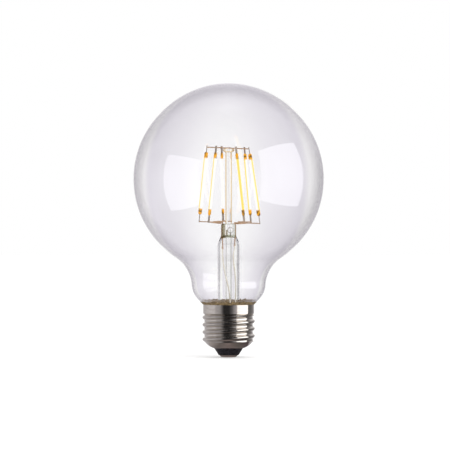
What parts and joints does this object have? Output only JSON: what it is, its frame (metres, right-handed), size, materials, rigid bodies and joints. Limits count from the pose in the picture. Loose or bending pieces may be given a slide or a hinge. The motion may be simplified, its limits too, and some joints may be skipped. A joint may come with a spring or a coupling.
{
  "type": "led light bulb",
  "caption": "Clear round globe lamp with glowing LED filaments on a glass stem, and a metal screw cap that holds and feeds it.",
  "frame": {"origin": "centre of the bottom face of the centre contact, on the lamp's axis", "axes": "+Z along the lamp's axis from the cap to the top of the globe, -Y is the front of the picture, +X its right"},
  "size_m": [0.095, 0.095, 0.136],
  "materials": {
    "globe_glass": "clear",
    "stem_glass": "clear",
    "nickel": "bright nickel plate",
    "wire": "drawn wire",
    "filament_gel": "translucent gel",
    "tab_steel": "stamped strip",
    "cement": "rough",
    "black_glass": "glossy black",
    "wire_sleeve": "sleeved wire",
    "driver_plastic": "moulded",
    "board": "circuit board",
    "chip_black": "moulded",
    "capacitor_can": "sleeved can",
    "resistor_body": "coated"
  },
  "bodies": {
    "root": {"glass_globe": "globe_glass", "stem_flare": "stem_glass", "exhaust_tube": "stem_glass", "centre_post": "stem_glass", "screw_shell": "nickel", "centre_contact": "nickel", "lead_left": "wire", "lead_right": "wire", "lower_bus_left": "wire", "lower_bus_right": "wire", "top_cross_wire": "wire", "top_front_wire": "wire", "top_back_wire": "wire", "contact_lead": "wire", "shell_lead": "wire", "filament_1": "filament_gel", "filament_2": "filament_gel", "filament_3": "filament_gel", "filament_4": "filament_gel", "filament_5": "filament_gel", "filament_6": "filament_gel", "upper_tab_1": "tab_steel", "upper_tab_2": "tab_steel", "upper_tab_3": "tab_steel", "upper_tab_4": "tab_steel", "upper_tab_5": "tab_steel", "upper_tab_6": "tab_steel", "lower_tab_1": "tab_steel", "lower_tab_2": "tab_steel", "lower_tab_3": "tab_steel", "lower_tab_4": "tab_steel", "lower_tab_5": "tab_steel", "lower_tab_6": "tab_steel", "cap_cement": "cement", "cap_insulator": "black_glass", "outer_lead_left": "wire_sleeve", "outer_lead_right": "wire_sleeve", "driver_sleeve": "driver_plastic", "driver_board": "board", "bridge_rectifier": "chip_black", "current_regulator": "chip_black", "sense_resistors": "chip_black", "smoothing_capacitor": "capacitor_can", "fusible_resistor": "resistor_body"}
  },
  "joints": []
}
